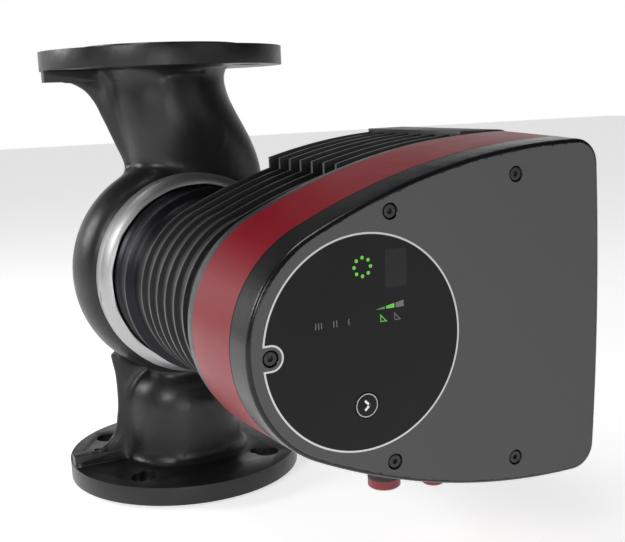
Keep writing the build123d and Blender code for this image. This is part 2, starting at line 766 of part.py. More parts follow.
with BuildPart() as cover_screws:
    head_base = front_depth - screw_recess_depth
    extrude(spots(head_base - 24, cover_screw_spots, screw_radius), amount=24)
    extrude(spots(head_base, cover_screw_spots, screw_head_radius), amount=screw_head_height)
    with BuildSketch(station(head_base + screw_head_height)):
        with Locations(*cover_screw_spots):
            RegularPolygon(1.73, 6)
    extrude(amount=-2.2, mode=Mode.SUBTRACT)
save(cover_screws, "cover_screws")

# ==== button =======================================================================
board_front = front_depth - button_length - button_travel - 0.6
with BuildPart() as operating_button:
    extrude(spots(front_depth + button_proud, [button_spot], button_radius),
            amount=-button_length - button_proud)
    fillet(operating_button.faces().sort_by(Axis.Y)[0].edges(), 0.4)
    # Shoulder that keeps the button behind the panel.
    extrude(spots(display_back - running_gap, [button_spot],
                  button_radius + 1.5), amount=-1.2)
save(operating_button, "operating_button")

with BuildPart() as button_switch:
    extrude(spots(board_front, [button_spot], 3.0), amount=0.3)
    extrude(block(board_front, *button_spot, 8, 8), amount=0.2)
save(button_switch, "button_switch")

# ==== electronics ==================================================================
with BuildPart() as display_board:
    extrude(spots(board_front, [(0, 0)], display_radius - 9), amount=-board_thickness)
save(display_board, "display_board")

step_row = 13.0
lamp_row = display_radius - 17.0
indicator_spots = [(x, step_row) for x in (-27.0, -17.0, -9.0, 12.0, 22.0)]
indicator_spots += [(0.0, lamp_row), (19.0, lamp_row - 3.0)]
with BuildPart() as light_guides:
    extrude(spots(board_front, indicator_spots, 2.0), amount=display_back - board_front)
save(light_guides, "light_guides")

post_spots = [polar_point(display_radius - 14, angle) for angle in (45, 135, 225, 315)]
with BuildPart() as board_posts:
    posts_start = board_depth + board_thickness
    extrude(spots(posts_start, post_spots, 3.0),
            amount=board_front - board_thickness - posts_start)
save(board_posts, "board_posts")

with BuildPart() as power_board:
    extrude(box_outline(board_depth, -12), amount=board_thickness)
    extrude(spots(board_depth, cover_screw_spots, boss_radius + 1), amount=board_thickness,
            mode=Mode.SUBTRACT)
save(power_board, "power_board")

standoff_spots = [(-45, 20), (-45, -20), (60, 60), (60, -60), (135, 70), (135, -70)]
with BuildPart() as standoffs:
    extrude(spots(band_start, standoff_spots, 3.5), amount=board_depth - band_start)
save(standoffs, "standoffs")

with BuildPart() as power_module:
    extrude(block(band_start, 100, 0, 44, 30), amount=board_depth - band_start)
save(power_module, "power_module")

capacitor_spots = [(130, 50), (130, 22), (130, -6)]
with BuildPart() as capacitors:
    extrude(spots(board_depth + board_thickness, capacitor_spots, 12), amount=28)
    fillet(capacitors.faces().group_by(Axis.Y)[0].edges(), 1.5)
save(capacitors, "capacitors")

with BuildPart() as filter_choke:
    with BuildSketch(station(board_depth + board_thickness)):
        with Locations((95, -40)):
            Circle(17)
            Circle(7, mode=Mode.SUBTRACT)
    extrude(amount=14)
    fillet(filter_choke.edges(), 3)
save(filter_choke, "filter_choke")

terminal_spot = (55, -60)
terminal_count = 6
terminal_pitch = 9.0
with BuildPart() as terminal_block:
    terminal_start = board_depth + board_thickness
    extrude(block(terminal_start, *terminal_spot, terminal_pitch * terminal_count, 12), amount=16)
    with BuildSketch(station(terminal_start + 16)):
        with Locations(terminal_spot):
            with GridLocations(terminal_pitch, 0, terminal_count, 1):
                Circle(2.6)
    extrude(amount=-6, mode=Mode.SUBTRACT)
save(terminal_block, "terminal_block")

with BuildPart() as terminal_screws:
    with BuildSketch(station(terminal_start + 10)):
        with Locations(terminal_spot):
            with GridLocations(terminal_pitch, 0, terminal_count, 1):
                Circle(2.6)
    extrude(amount=2.4)
    with BuildSketch(station(terminal_start + 12.4)):
        with Locations(terminal_spot):
            with GridLocations(terminal_pitch, 0, terminal_count, 1):
                Rectangle(0.8, 5.4)
    extrude(amount=-0.8, mode=Mode.SUBTRACT)
save(terminal_screws, "terminal_screws")

with BuildPart() as winding_connector:
    connector_start = drum_end - drum_end_wall - 24
    extrude(block(connector_start, 0, 34, 18, 10), amount=board_depth - connector_start)
save(winding_connector, "winding_connector")

with BuildPart() as ribbon_connector:
    extrude(block(board_front - board_thickness, 20, -10, 16, 6),
            amount=-(board_front - board_thickness - posts_start))
save(ribbon_connector, "ribbon_connector")

# ==== cable entries ================================================================
with BuildPart() as cable_gland:
    with BuildSketch(entry_plane(gland_x, gland_tip + gland_floor)):
        Circle(gland_radius - thread_wall - bearing_gap)
    extrude(amount=gland_length - gland_floor + pad_height + 5)
    with BuildSketch(entry_plane(gland_x, gland_seat)):
        Circle(gland_radius)
    extrude(amount=-4)
save(cable_gland, "cable_gland")

with BuildPart() as gland_nut:
    with BuildSketch(entry_plane(gland_x, gland_seat + pad_height)):
        RegularPolygon(gland_radius + 1, 6)
        Circle(gland_radius - thread_wall - bearing_gap, mode=Mode.SUBTRACT)
    extrude(amount=4)
save(gland_nut, "gland_nut")

with BuildPart() as gland_cap:
    with BuildSketch(entry_plane(gland_x, gland_tip)):
        Circle(gland_radius)
    extrude(amount=gland_length - 4)
    with BuildSketch(entry_plane(gland_x, gland_tip + gland_floor)):
        Circle(gland_radius - thread_wall - bearing_gap)
    extrude(amount=30, mode=Mode.SUBTRACT)
    chamfer(gland_cap.faces().sort_by(Axis.Z)[0].edges(), 1.0)
save(gland_cap, "gland_cap")

with BuildPart() as blanking_plug:
    with BuildSketch(entry_plane(plug_x, plug_tip)):
        Circle(plug_radius)
    extrude(amount=plug_length)
    with BuildSketch(entry_plane(plug_x, plug_seat)):
        Circle(plug_radius - thread_wall - bearing_gap)
    extrude(amount=pad_height + 3)
    with BuildSketch(entry_plane(plug_x, plug_tip)):
        RegularPolygon(4, 6)
    extrude(amount=3, mode=Mode.SUBTRACT)
    chamfer(blanking_plug.faces().sort_by(Axis.Z)[0].outer_wire().edges(), 0.8)
save(blanking_plug, "blanking_plug")
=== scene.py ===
"""Looks of an in-line circulator pump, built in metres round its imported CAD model."""
import logging
import math
from dataclasses import dataclass, field
from enum import Enum

import bmesh
import bpy
from mathutils import Matrix, Vector
from mathutils.bvhtree import BVHTree


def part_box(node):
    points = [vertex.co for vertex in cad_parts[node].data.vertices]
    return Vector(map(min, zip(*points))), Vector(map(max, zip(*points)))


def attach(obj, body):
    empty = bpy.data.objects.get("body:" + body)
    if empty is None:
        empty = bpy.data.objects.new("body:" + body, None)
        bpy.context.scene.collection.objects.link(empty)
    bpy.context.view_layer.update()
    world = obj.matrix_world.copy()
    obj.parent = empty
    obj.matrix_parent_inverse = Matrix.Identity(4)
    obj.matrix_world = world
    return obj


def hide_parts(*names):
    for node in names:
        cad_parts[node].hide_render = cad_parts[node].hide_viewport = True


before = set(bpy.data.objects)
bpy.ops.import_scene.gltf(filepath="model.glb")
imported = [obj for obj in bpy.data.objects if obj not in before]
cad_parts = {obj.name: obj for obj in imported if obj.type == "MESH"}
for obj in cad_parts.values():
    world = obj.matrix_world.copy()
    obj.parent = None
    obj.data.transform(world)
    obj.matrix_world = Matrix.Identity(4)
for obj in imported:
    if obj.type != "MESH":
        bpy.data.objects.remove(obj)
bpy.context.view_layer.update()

MM = 0.001
MERGE_DISTANCE = 0.002 * MM
SAME_PLANE = math.radians(0.3)
LEVEL_SLACK = 0.01 * MM
END_FACE = 0.98
WALL_CENTRE_GAP = 0.3 * MM
WALL_CORNER_GAP = 1.2 * MM
WALL_PARALLEL = 0.8
RING_POINTS = 720
log = logging.getLogger("pump")


class Body(str, Enum):
    """Rigid bodies that a piece can ride on."""

    HOUSING = "housing"
    HEAD = "head"
    ROTOR = "rotor"
    BUTTON = "button"


# ---- materials ----------------------------------------------------------------------


def map_range(nodes: bpy.types.Nodes, links: bpy.types.NodeLinks, value: bpy.types.NodeSocket,
              source: tuple[float, float], target: tuple[float, float]) -> bpy.types.NodeSocket:
    """Add a node that stretches one range of values to another.

    Args:
        nodes: nodes of the tree.
        links: links of the tree.
        value: the value to stretch.
        source: ends of its own range.
        target: results at those two ends.

    Returns:
        The stretched value.
    """
    node = nodes.new("ShaderNodeMapRange")
    for sockets, numbers in ((("From Min", "From Max"), source), (("To Min", "To Max"), target)):
        for socket, number in zip(sockets, numbers):
            node.inputs[socket].default_value = number
    links.new(value, node.inputs["Value"])
    return node.outputs["Result"]


class NodeGraph:
    """A material's node tree, with the few building blocks that the finishes share."""

    def __init__(self, name: str) -> None:
        """Start an empty material with a Principled shader.

        Args:
            name: name of the new material.
        """
        self.material = bpy.data.materials.new(name)
        self.material.use_nodes = True
        tree = self.material.node_tree
        tree.nodes.clear()
        self.nodes = tree.nodes
        self.links = tree.links
        self.shader = self.nodes.new("ShaderNodeBsdfPrincipled")
        output = self.nodes.new("ShaderNodeOutputMaterial")
        self.links.new(self.shader.outputs["BSDF"], output.inputs["Surface"])
        self.coords = self.nodes.new("ShaderNodeTexCoord")

    def set(self, socket: str, value: object) -> None:
        """Set one of the shader's own sockets to a constant."""
        self.shader.inputs[socket].default_value = value

    def drive(self, socket: str, source: bpy.types.NodeSocket) -> None:
        """Link a source to one of the shader's own sockets."""
        self.links.new(source, self.shader.inputs[socket])

    def place(self, scale: tuple[float, float, float] = (1, 1, 1)) -> bpy.types.NodeSocket:
        """Object coordinates, stretched along the axes.

        Args:
            scale: stretch of the pattern along X, Y and Z.

        Returns:
            The mapped vector.
        """
        mapping = self.nodes.new("ShaderNodeMapping")
        mapping.inputs["Scale"].default_value = scale
        self.links.new(self.coords.outputs["Object"], mapping.inputs["Vector"])
        return mapping.outputs["Vector"]

    def noise(self, per_metre: float, detail: float = 3.0,
              scale: tuple[float, float, float] = (1, 1, 1)) -> bpy.types.NodeSocket:
        """Cloudy noise on Object coordinates.

        Args:
            per_metre: how many lumps there are in a metre.
            detail: number of finer octaves.
            scale: stretch of the pattern along the axes.

        Returns:
            The noise value, from 0 to 1.
        """
        texture = self.nodes.new("ShaderNodeTexNoise")
        texture.inputs["Scale"].default_value = per_metre
        texture.inputs["Detail"].default_value = detail
        self.links.new(self.place(scale), texture.inputs["Vector"])
        return texture.outputs["Fac"]

    def remap(self, value: bpy.types.NodeSocket, low: float, high: float,
              start: float = 0.3, end: float = 0.7) -> bpy.types.NodeSocket:
        """Stretch a value from start..end to low..high.

        Args:
            value: the value to stretch.
            low: result at start.
            high: result at end.
            start: value that gives low.
            end: value that gives high.

        Returns:
            The stretched value.
        """
        return map_range(self.nodes, self.links, value, (start, end), (low, high))

    def blend(self, factor: bpy.types.NodeSocket, first: tuple,
              second: tuple) -> bpy.types.NodeSocket:
        """Mix two plain colours by a factor.

        Args:
            factor: 0 for the first colour, 1 for the second.
            first: red, green and blue of the first colour.
            second: red, green and blue of the second colour.

        Returns:
            The mixed colour.
        """
        node = self.nodes.new("ShaderNodeMix")
        node.data_type = "RGBA"
        node.inputs["A"].default_value = (*first, 1)
        node.inputs["B"].default_value = (*second, 1)
        self.links.new(factor, node.inputs["Factor"])
        return node.outputs["Result"]

    def bump(self, height: bpy.types.NodeSocket, depth: float, strength: float = 1.0) -> None:
        """Raise the surface by a height pattern, on top of any bump that is already there.

        Args:
            height: pattern from 0 to 1.
            depth: real height of the pattern in metres.
            strength: share of the bump that is used.
        """
        node = self.nodes.new("ShaderNodeBump")
        node.inputs["Distance"].default_value = depth
        node.inputs["Strength"].default_value = strength
        self.links.new(height, node.inputs["Height"])
        normal = self.shader.inputs["Normal"]
        if normal.is_linked:
            self.links.new(normal.links[0].from_socket, node.inputs["Normal"])
        self.links.new(node.outputs["Normal"], normal)


@dataclass(frozen=True)
class Finish:
    """A surface finish: its colours, gloss and grain."""

    name: str
    colour: tuple[float, float, float]
    second: tuple[float, float, float]
    rough: tuple[float, float] = (0.4, 0.5)
    metal: float = 0.0
    coat: float = 0.0
    coat_rough: float = 0.1
    specular: float = 0.5
    mottle: float = 30.0
    grain: float = 1200.0
    grain_depth: float = 0.00003

    def build(self) -> bpy.types.Material:
        """Make the material, or return it if it is already made."""
        made = bpy.data.materials.get(self.name)
        if made:
            return made
        graph = NodeGraph(self.name)
        self.paint(graph)
        return graph.material

    def paint(self, graph: NodeGraph) -> None:
        """Lay down the colour, gloss and grain.

        Args:
            graph: node tree to fill.
        """
        graph.set("Metallic", self.metal)
        graph.set("Specular IOR Level", self.specular)
        graph.set("Coat Weight", self.coat)
        graph.set("Coat Roughness", self.coat_rough)
        cloud = graph.remap(graph.noise(self.mottle), 0, 1)
        graph.drive("Base Color", graph.blend(cloud, self.colour, self.second))
        graph.drive("Roughness", graph.remap(graph.noise(self.mottle * 3), *self.rough))
        graph.bump(graph.noise(self.grain, 2.0), self.grain_depth)


@dataclass(frozen=True)
class SandCast(Finish):
    """Painted sand casting: soft lumps under a fine grain."""

    lumps: float = 160.0
    lump_depth: float = 0.00025

    def paint(self, graph: NodeGraph) -> None:
        """Add soft lumps under the grain."""
        super().paint(graph)
        graph.bump(graph.noise(self.lumps, 2.0), self.lump_depth, 0.6)


@dataclass(frozen=True)
class TurnedMetal(Finish):
    """Metal turned on a lathe about the motor's axis, with fine rings along Y."""

    def paint(self, graph: NodeGraph) -> None:
        """Add fine turning rings."""
        super().paint(graph)
        rings = graph.noise(60.0, 4.0, (0.02, 60.0, 0.02))
        graph.bump(rings, 0.00002, 0.5)


@dataclass(frozen=True)
class RimHighlitFins(Finish):
    """Black casting whose narrow rims, those that face away from Y, carry a painted highlight."""

    # rim: colour of the painted highlight on the fins' rims.
    rim: tuple[float, float, float] = (0.03, 0.03, 0.031)

    def paint(self, graph: NodeGraph) -> None:
        """Paint a highlight colour onto the rims of the fins."""
        super().paint(graph)
        split = graph.nodes.new("ShaderNodeSeparateXYZ")
        graph.links.new(graph.coords.outputs["Normal"], split.inputs["Vector"])
        power = graph.nodes.new("ShaderNodeMath")
        power.operation = "MULTIPLY"
        graph.links.new(split.outputs["Y"], power.inputs[0])
        graph.links.new(split.outputs["Y"], power.inputs[1])
        # Faces whose normal lies across Y take the painted rim highlight colour.
        facing = graph.remap(power.outputs["Value"], 1.0, 0.0, 0.0, 0.35)
        graph.drive("Base Color", graph.blend(facing, self.colour, self.rim))


@dataclass(frozen=True)
class Glow(Finish):
    """Lit mark on the display."""

    power: float = 0.8

    def paint(self, graph: NodeGraph) -> None:
        """Add the mark's own light."""
        super().paint(graph)
        graph.set("Emission Color", (*self.colour, 1))
        graph.set("Emission Strength", self.power)


BLACK_CAST = SandCast("black_cast", (0.008, 0.008, 0.0085), (0.013, 0.013, 0.0138), (0.30, 0.40),
                      specular=0.42, grain=1500.0, grain_depth=0.00006)
CLAMP_STEEL = TurnedMetal("clamp_steel", (0.34, 0.34, 0.34), (0.42, 0.42, 0.42), (0.28, 0.38),
                          metal=1.0)
MOTOR_BLACK = Finish("motor_black", (0.009, 0.009, 0.0095), (0.014, 0.014, 0.0148), (0.28, 0.36),
                     specular=0.5)
# Black fins whose rims carry a painted highlight colour.
FIN_BLACK_RIM_HIGHLIT = RimHighlitFins("fin_black", (0.011, 0.011, 0.012), (0.016, 0.016, 0.017), (0.34, 0.44))
RED_SATIN = Finish("red_satin", (0.19, 0.002, 0.009), (0.21, 0.003, 0.011), (0.32, 0.38),
                   specular=0.3, mottle=12.0, grain=2500.0, grain_depth=0.00001)
COVER_GREY = Finish("cover_grey", (0.034, 0.034, 0.0355), (0.041, 0.041, 0.043), (0.5, 0.6),
                    specular=0.3, mottle=18.0, grain=2600.0, grain_depth=0.00005)
COVER_EDGE = Finish("cover_edge", (0.006, 0.006, 0.006), (0.009, 0.009, 0.009), (0.2, 0.26),
                    specular=0.3)
DISPLAY_GLOSS = Finish("display_gloss", (0.0045, 0.0045, 0.0045), (0.006, 0.006, 0.006),
                       (0.08, 0.12), specular=0.2, grain_depth=0.0)
TRIM_SILVER = Finish("trim_silver", (0.12, 0.12, 0.12), (0.15, 0.15, 0.15), (0.3, 0.4), metal=0.5)
SCREW_BLACK = Finish("screw_black", (0.012, 0.012, 0.012), (0.02, 0.02, 0.02), (0.3, 0.4), metal=0.4)
RUBBER = Finish("rubber", (0.012, 0.012, 0.012), (0.016, 0.016, 0.016), (0.7, 0.8))
STAINLESS = TurnedMetal("stainless", (0.55, 0.55, 0.54), (0.62, 0.62, 0.61), (0.22, 0.34), metal=1.0)
LAMINATION = TurnedMetal("lamination", (0.2, 0.2, 0.21), (0.26, 0.26, 0.27), (0.4, 0.55), metal=0.8)
COPPER = Finish("copper", (0.5, 0.17, 0.06), (0.58, 0.22, 0.08), (0.3, 0.45), metal=0.9, grain=900.0,
                grain_depth=0.0002)
MAGNET = Finish("magnet", (0.1, 0.1, 0.1), (0.14, 0.14, 0.14), (0.4, 0.5), metal=0.7)
CARBON = Finish("carbon", (0.03, 0.03, 0.032), (0.04, 0.04, 0.042), (0.25, 0.35))
BOARD = Finish("board", (0.008, 0.07, 0.03), (0.01, 0.09, 0.035), (0.35, 0.45), coat=0.3)
COMPONENT = Finish("component", (0.02, 0.02, 0.02), (0.03, 0.03, 0.03), (0.45, 0.55))
CLEAR = Finish("clear_guide", (0.75, 0.75, 0.75), (0.8, 0.8, 0.8), (0.1, 0.2))
ENTRY_BLACK = Finish("entry_black", (0.012, 0.012, 0.012), (0.018, 0.018, 0.018), (0.35, 0.5))
CAP_RED = Finish("cap_red", (0.11, 0.005, 0.01), (0.14, 0.006, 0.012), (0.3, 0.4), specular=0.4)
GREEN_LIT = Glow("green_lit", (0.09, 0.40, 0.04), (0.09, 0.40, 0.04), power=0.45)
GREEN_DIM = Glow("green_dim", (0.05, 0.20, 0.03), (0.05, 0.20, 0.03), power=0.35)
GREY_MARK = Finish("grey_mark", (0.13, 0.13, 0.13), (0.14, 0.14, 0.14), (0.3, 0.4), grain_depth=0.0)
PALE_MARK = Finish("pale_mark", (0.42, 0.42, 0.42), (0.45, 0.45, 0.45), (0.3, 0.4), grain_depth=0.0)
WHITE_MARK = Finish("white_mark", (0.85, 0.85, 0.85), (0.9, 0.9, 0.9), (0.3, 0.4), grain_depth=0.0)
WINDOW_GREY = Finish("window_grey", (0.011, 0.011, 0.011), (0.013, 0.013, 0.013), (0.15, 0.2),
                     specular=0.25, grain_depth=0.0)
FLOOR_WHITE = Glow("floor_white", (0.85, 0.85, 0.85), (0.86, 0.86, 0.86), (0.8, 0.9),
                   specular=0.1, grain_depth=0.0, power=0.8)

NODE_FINISHES: dict[str, Finish] = {
    "wear_ring": STAINLESS, "housing_seal": RUBBER, "clamp_screw": SCREW_BLACK,
    "clamp_nut": CLAMP_STEEL, "bearing_plate": STAINLESS, "front_bearing": CARBON,
    "rear_bearing": CARBON, "rotor_can": STAINLESS, "can_seal": RUBBER,
    "stator_core": LAMINATION, "stator_windings": COPPER, "shaft": STAINLESS,
    "impeller": STAINLESS, "impeller_nut": STAINLESS, "rotor_core": LAMINATION,
    "rotor_magnets": MAGNET, "rotor_sleeve": STAINLESS, "thrust_ring": CARBON,
    "thrust_carrier": RUBBER, "sink_screws": SCREW_BLACK, "cover_gasket": RUBBER,
    "button_switch": COMPONENT, "display_board": BOARD, "light_guides": CLEAR,
    "board_posts": COMPONENT, "power_board": BOARD, "standoffs": CLAMP_STEEL,
    "power_module": COMPONENT, "capacitors": COMPONENT, "filter_choke": COPPER,
    "terminal_block": COMPONENT, "terminal_screws": CLAMP_STEEL,
    "winding_connector": COMPONENT, "ribbon_connector": COMPONENT,
    "cable_gland": ENTRY_BLACK, "gland_nut": ENTRY_BLACK, "gland_cap": CAP_RED,
    "blanking_plug": CAP_RED, "display_panel": DISPLAY_GLOSS, "display_trim": TRIM_SILVER,
}


# ---- mesh helpers -------------------------------------------------------------------


def node_mesh(node: str) -> bmesh.types.BMesh:
    """Merged copy of a CAD node's mesh.

    Args:
        node: name of the CAD node.

    Returns:
        A bmesh whose flat faces are whole again.
    """
    mesh = bmesh.new()
    mesh.from_mesh(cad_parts[node].data)
    bmesh.ops.remove_doubles(mesh, verts=mesh.verts, dist=MERGE_DISTANCE)
    return mesh


def whole_faces(mesh: bmesh.types.BMesh, angle: float = 0.6) -> None:
    """Join triangles that lie in one plane.

    Args:
        mesh: mesh to work on.
        angle: largest angle between them, in degrees.
    """
    bmesh.ops.dissolve_limit(mesh, angle_limit=math.radians(angle), verts=mesh.verts,
                             edges=mesh.edges, use_dissolve_boundaries=False, delimit=set())


def round_edges(mesh: bmesh.types.BMesh, width: float, angle: float = 40.0,
                segments: int = 2) -> None:
    """Round every edge that is sharper than an angle.

    Args:
        mesh: mesh to work on.
        width: width of the rounding in metres.
        angle: smallest angle between faces, in degrees, that counts as an edge.
        segments: number of facets across the rounding.
    """
    sharp = [e for e in mesh.edges if e.is_manifold and e.calc_face_angle(0) > math.radians(angle)]
    bmesh.ops.bevel(mesh, geom=sharp, offset=width, offset_type="OFFSET", segments=segments,
                    profile=0.5, affect="EDGES", material=-1, clamp_overlap=True)


def steady_faces(mesh: bmesh.types.BMesh, least_area: float, margin: float) -> None:
    """Frame each large flat region, so that rounded edges don't shade across it.

    Args:
        mesh: mesh to work on.
        least_area: smallest region, in square metres, that gets a frame.
        margin: width of the frame in metres.
    """
    seen: set[bmesh.types.BMFace] = set()
    regions: list[list[bmesh.types.BMFace]] = []
    for start in mesh.faces:
        if start in seen:
            continue
        region, queue = [], [start]
        seen.add(start)
        while queue:
            face = queue.pop()
            region.append(face)
            for edge in face.edges:
                for other in edge.link_faces:
                    turn = other.normal.angle(start.normal, 1.0)
                    if other not in seen and turn < SAME_PLANE:
                        seen.add(other)
                        queue.append(other)
        if sum(face.calc_area() for face in region) > least_area:
            regions.append(region)
    for region in regions:
        bmesh.ops.inset_region(mesh, faces=region, thickness=margin, use_even_offset=True,
                               use_boundary=True)


def wall_rings(node: str, depths: list[float], count: int = RING_POINTS) -> list[list[Vector]]:
    """Even rings of points on a node's outer wall.

    Args:
        node: name of the CAD node.
        depths: Y of each ring, in metres.
        count: points in a ring.

    Returns:
        One list of points for each depth.
    """
    source = node_mesh(node)
    tree = BVHTree.FromBMesh(source)
    source.free()
    low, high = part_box(node)
    middle_x, middle_z = (low[0] + high[0]) / 2, Panel.axis_height()
    reach = (high[0] - low[0]) + 50 * MM
    rings = []
    for depth in depths:
        ring = []
        for number in range(count):
            angle = 2 * math.pi * number / count
            outward = Vector((math.cos(angle), 0, math.sin(angle)))
            start = Vector((middle_x, depth, middle_z)) + outward * reach
            ring.append(tree.ray_cast(start, -outward)[0])
        rings.append(ring)
    return rings


def renew_wall(mesh: bmesh.types.BMesh, rings: list[list[Vector]]) -> None:
    """Replace a shell's outer wall with an evenly meshed one and close it onto its ends.

    Args:
        mesh: mesh of the shell.
        rings: points of the new wall, from the back to the front.
    """
    skin = bmesh.new()
    loops = []
    for ring in rings:
        circle = bmesh.ops.create_circle(skin, segments=len(ring))["verts"]
        for vert, place in zip(circle, ring):
            vert.co = place
        members = set(circle)
        loops.append([e for e in skin.edges if members.issuperset(e.verts)])
    for first, second in zip(loops, loops[1:]):
        bmesh.ops.bridge_loops(skin, edges=first + second)
    tree = BVHTree.FromBMesh(skin)
    wall = []
    for face in mesh.faces:
        if abs(face.normal.y) > END_FACE:
            continue
        near = tree.find_nearest(face.calc_center_median())
        ends = [tree.find_nearest(vert.co)[3] for vert in face.verts]
        close = near[3] < WALL_CENTRE_GAP and max(ends) < WALL_CORNER_GAP
        if close and face.normal.dot(near[1]) ** 2 > WALL_PARALLEL:
            wall.append(face)
    bmesh.ops.delete(mesh, geom=wall, context="FACES")
    data = bpy.data.meshes.new("skin")
    skin.to_mesh(data)
    skin.free()
    before = set(mesh.verts)
    mesh.from_mesh(data)
    bpy.data.meshes.remove(data)
    open_skin = [e for e in mesh.edges if e.is_boundary and e.verts[0] not in before]
    open_old = [e for e in mesh.edges if e.is_boundary and e.verts[0] in before]
    for end in (max, min):
        level = end(e.verts[0].co.y for e in open_skin)
        near_skin = [e for e in open_skin if abs(e.verts[0].co.y - level) < LEVEL_SLACK]
        side = end(e.verts[0].co.y for e in open_old)
        near_old = [e for e in open_old
                    if all(abs(v.co.y - side) < LEVEL_SLACK for v in e.verts)]
        bmesh.ops.bridge_loops(mesh, edges=near_skin + near_old)
    bmesh.ops.recalc_face_normals(mesh, faces=mesh.faces)


def finish_piece(name: str, mesh: bmesh.types.BMesh, finish: Finish, body: Body,
                 smooth: float = 35.0) -> bpy.types.Object:
    """Turn a bmesh into a piece that rides on a body.

    Args:
        name: name of the piece.
        mesh: its shape, in the row frame.
        finish: its material.
        body: the body it rides on.
        smooth: edges sharper than this angle, in degrees, stay sharp.

    Returns:
        The new object.
    """
    data = bpy.data.meshes.new(name)
    mesh.to_mesh(data)
    mesh.free()
    for polygon in data.polygons:
        polygon.use_smooth = True
    data.set_sharp_from_angle(angle=math.radians(smooth))
    data.materials.append(finish.build())
    piece = bpy.data.objects.new(name, data)
    bpy.context.scene.collection.objects.link(piece)
    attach(piece, body.value)
    log.info("%s: %d faces on %s", name, len(data.polygons), body.value)
    return piece


def front_place(x: float, z: float, depth: float, turn: float = 0.0) -> Matrix:
    """Matrix that stands a flat shape up facing -Y.

    Args:
        x: place to the right of the motor's axis, in millimetres.
        z: place above the motor's axis, in millimetres.
        depth: distance forward of the pipe's axis, in millimetres.
        turn: turn in the plane of the panel, in degrees.

    Returns:
        Matrix from the shape's own plane to the row frame, in metres.
    """
    move = Matrix.Translation(Vector((x * MM, -depth * MM, Panel.axis_height() + z * MM)))
    stand = Matrix.Rotation(math.radians(90), 4, "X")
    return move @ stand @ Matrix.Rotation(math.radians(turn), 4, "Z")


class Panel:
    """Where the front panel lies, read from the frame."""

    @staticmethod
    def axis_height() -> float:
        """Height of the motor's axis in metres."""
        low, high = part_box("display_panel")
        return (low[2] + high[2]) / 2

    @staticmethod
    def front(node: str) -> float:
        """Depth of a node's front face, in millimetres forward of the pipe's axis."""
        return -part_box(node)[0][1] / MM


# ---- sub-assemblies -----------------------------------------------------------------


@dataclass
class Casting:
    """The cast housing: machined flanges at both ends of a smooth, hollow casting."""

    voxel: float = 2.0 * MM
    smooth_steps: int = 30
    flange_depth: float = 17.2 * MM
    flange_cut: float = 9 * MM
    overlap: float = 0.2 * MM
    joint_reach: float = 1.5 * MM
    mouth_start: float = -44 * MM
    flat_angle: float = 0.1
    rim_round: float = 1.4 * MM
    rim_angle: float = 60.0
    rim_segments: int = 3
    soft_angle: float = 32.0

    def build(self) -> None:
        """Build the casting and let it stand for its CAD node."""
        low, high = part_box("pump_housing")
        bottom, top = low[2] + self.flange_depth, high[2] - self.flange_depth
        mesh = self.middle(bottom, top)
        self.add_flange(mesh, bottom, True)
        self.add_flange(mesh, top, False)
        piece = finish_piece("cast_housing", mesh, BLACK_CAST, Body.HOUSING,
                             self.soft_angle)
        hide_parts("pump_housing")

    def middle(self, bottom: float, top: float) -> bmesh.types.BMesh:
        """Necks and scroll between the flanges, with their joints rounded as a casting's are.

        Args:
            bottom: height of the lower flange's inner face.
            top: height of the upper flange's inner face.

        Returns:
            The smooth middle of the casting, open where the flanges join.
        """
        source = node_mesh("pump_housing")
        data = bpy.data.meshes.new("casting_source")
        source.to_mesh(data)
        source.free()
        holder = bpy.data.objects.new("casting_source", data)
        bpy.context.scene.collection.objects.link(holder)
        remesh = holder.modifiers.new("even", "REMESH")
        remesh.mode = "VOXEL"
        remesh.voxel_size = self.voxel
        graph = bpy.context.evaluated_depsgraph_get()
        mesh = bmesh.new()
        mesh.from_mesh(holder.evaluated_get(graph).data)
        bpy.data.objects.remove(holder)
        bpy.data.meshes.remove(data)
        reach = self.joint_reach
        inside = [v for v in mesh.verts
                  if bottom + reach < v.co.z < top - reach and v.co.y > self.mouth_start]
        for _ in range(self.smooth_steps):
            bmesh.ops.smooth_vert(mesh, verts=inside, factor=0.5,
                                  use_axis_x=True, use_axis_y=True, use_axis_z=True)
        for height, outward in ((bottom, -1), (top, 1)):
            geometry = [*mesh.verts, *mesh.edges, *mesh.faces]
            level = height - outward * self.overlap
            bmesh.ops.bisect_plane(mesh, geom=geometry, plane_co=(0, 0, level),
                                   plane_no=(0, 0, outward), clear_outer=True)
        return mesh

    def add_flange(self, mesh: bmesh.types.BMesh, height: float, keep_below: bool) -> None:
        """Add one crisp, machined flange.

        Args:
            mesh: mesh that takes the flange.
            height: height of the flange's inner face.
            keep_below: True for the lower flange.
        """
        flange = node_mesh("pump_housing")
        side = 1 if keep_below else -1
        geometry = [*flange.verts, *flange.edges, *flange.faces]
        level = height + side * self.flange_cut
        bmesh.ops.bisect_plane(flange, geom=geometry, plane_co=(0, 0, level),
                               plane_no=(0, 0, side), clear_outer=True)
        whole_faces(flange, self.flat_angle)
        round_edges(flange, self.rim_round, self.rim_angle, self.rim_segments)
        data = bpy.data.meshes.new("flange")
        flange.to_mesh(data)
        flange.free()
        mesh.from_mesh(data)
        bpy.data.meshes.remove(data)


@dataclass
class RefinedShell:
    """A CAD shape with its edges rounded and its faces smooth."""

    node: str
    piece: str
    finish: Finish
    slot: str
    body: Body
    edge: float = 0.4 * MM
    angle: float = 40.0
    segments: int = 2
    flat_angle: float = 0.1

    def build(self) -> None:
        """Build the piece and let it stand for its CAD node."""
        mesh = node_mesh(self.node)
        whole_faces(mesh, self.flat_angle)
        round_edges(mesh, self.edge, self.angle, self.segments)
        piece = finish_piece(self.piece, mesh, self.finish, self.body)
        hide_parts(self.node)


